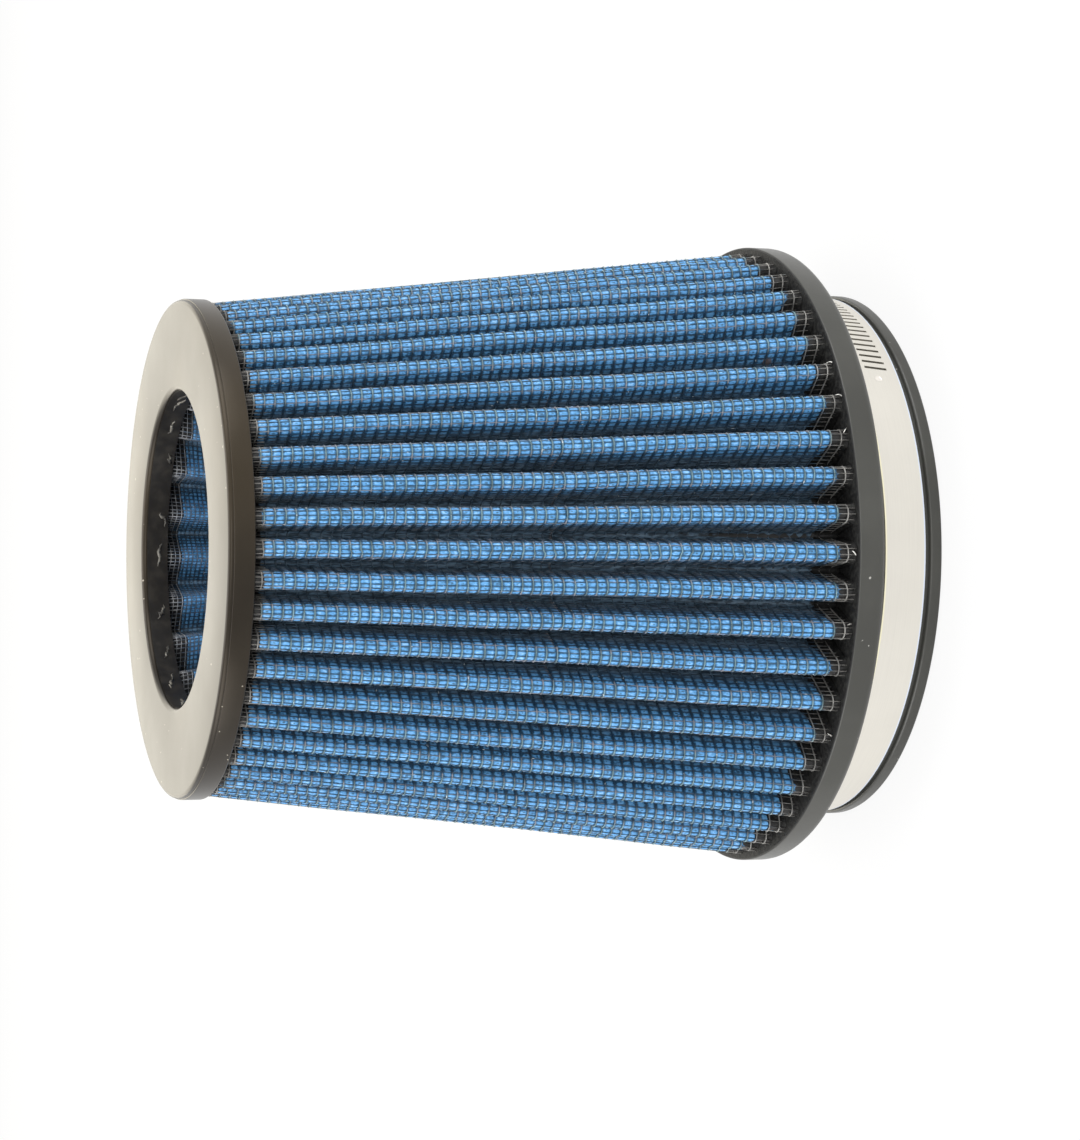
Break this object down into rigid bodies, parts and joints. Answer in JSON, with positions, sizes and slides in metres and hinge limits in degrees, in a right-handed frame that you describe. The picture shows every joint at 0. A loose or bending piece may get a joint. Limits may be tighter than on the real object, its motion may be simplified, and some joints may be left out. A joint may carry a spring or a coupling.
{
  "type": "cone air filter",
  "caption": "Round tapered intake air filter with a pleated gauze wall, an inverted pleated cone in its open nose, a moulded base and a worm-drive clamp on its neck.",
  "frame": {"origin": "on the filter's axis, level with the mouth of the neck that it stands on", "axes": "+Z along the axis, from the neck's mouth up to the nose ring; the camera of the picture looks along +Y and down"},
  "size_m": [0.1906, 0.1906, 0.2101],
  "materials": {
    "base_urethane": "matte",
    "nose_urethane": "satin",
    "screen_wire": "satin",
    "oiled_gauze": "oiled weave",
    "clamp_steel": "satin",
    "screw_steel": "satin"
  },
  "bodies": {
    "filter": {"base_boot": "base_urethane", "nose_ring": "nose_urethane", "outer_screen": "screen_wire", "outer_gauze": "oiled_gauze", "outer_backing_screen": "screen_wire", "cone_screen": "screen_wire", "cone_gauze": "oiled_gauze", "cone_backing_screen": "screen_wire", "cone_end_cap": "base_urethane", "clamp_band": "clamp_steel", "clamp_housing": "clamp_steel"},
    "worm": {"clamp_screw": "screw_steel"}
  },
  "joints": [
    {"name": "worm_turn", "type": "hinge", "parent": "filter", "child": "worm", "pos_m": [0.04066, 0.07646, 0.01145], "axis": [-0.8829, 0.4695, 0], "continuous": true}
  ]
}
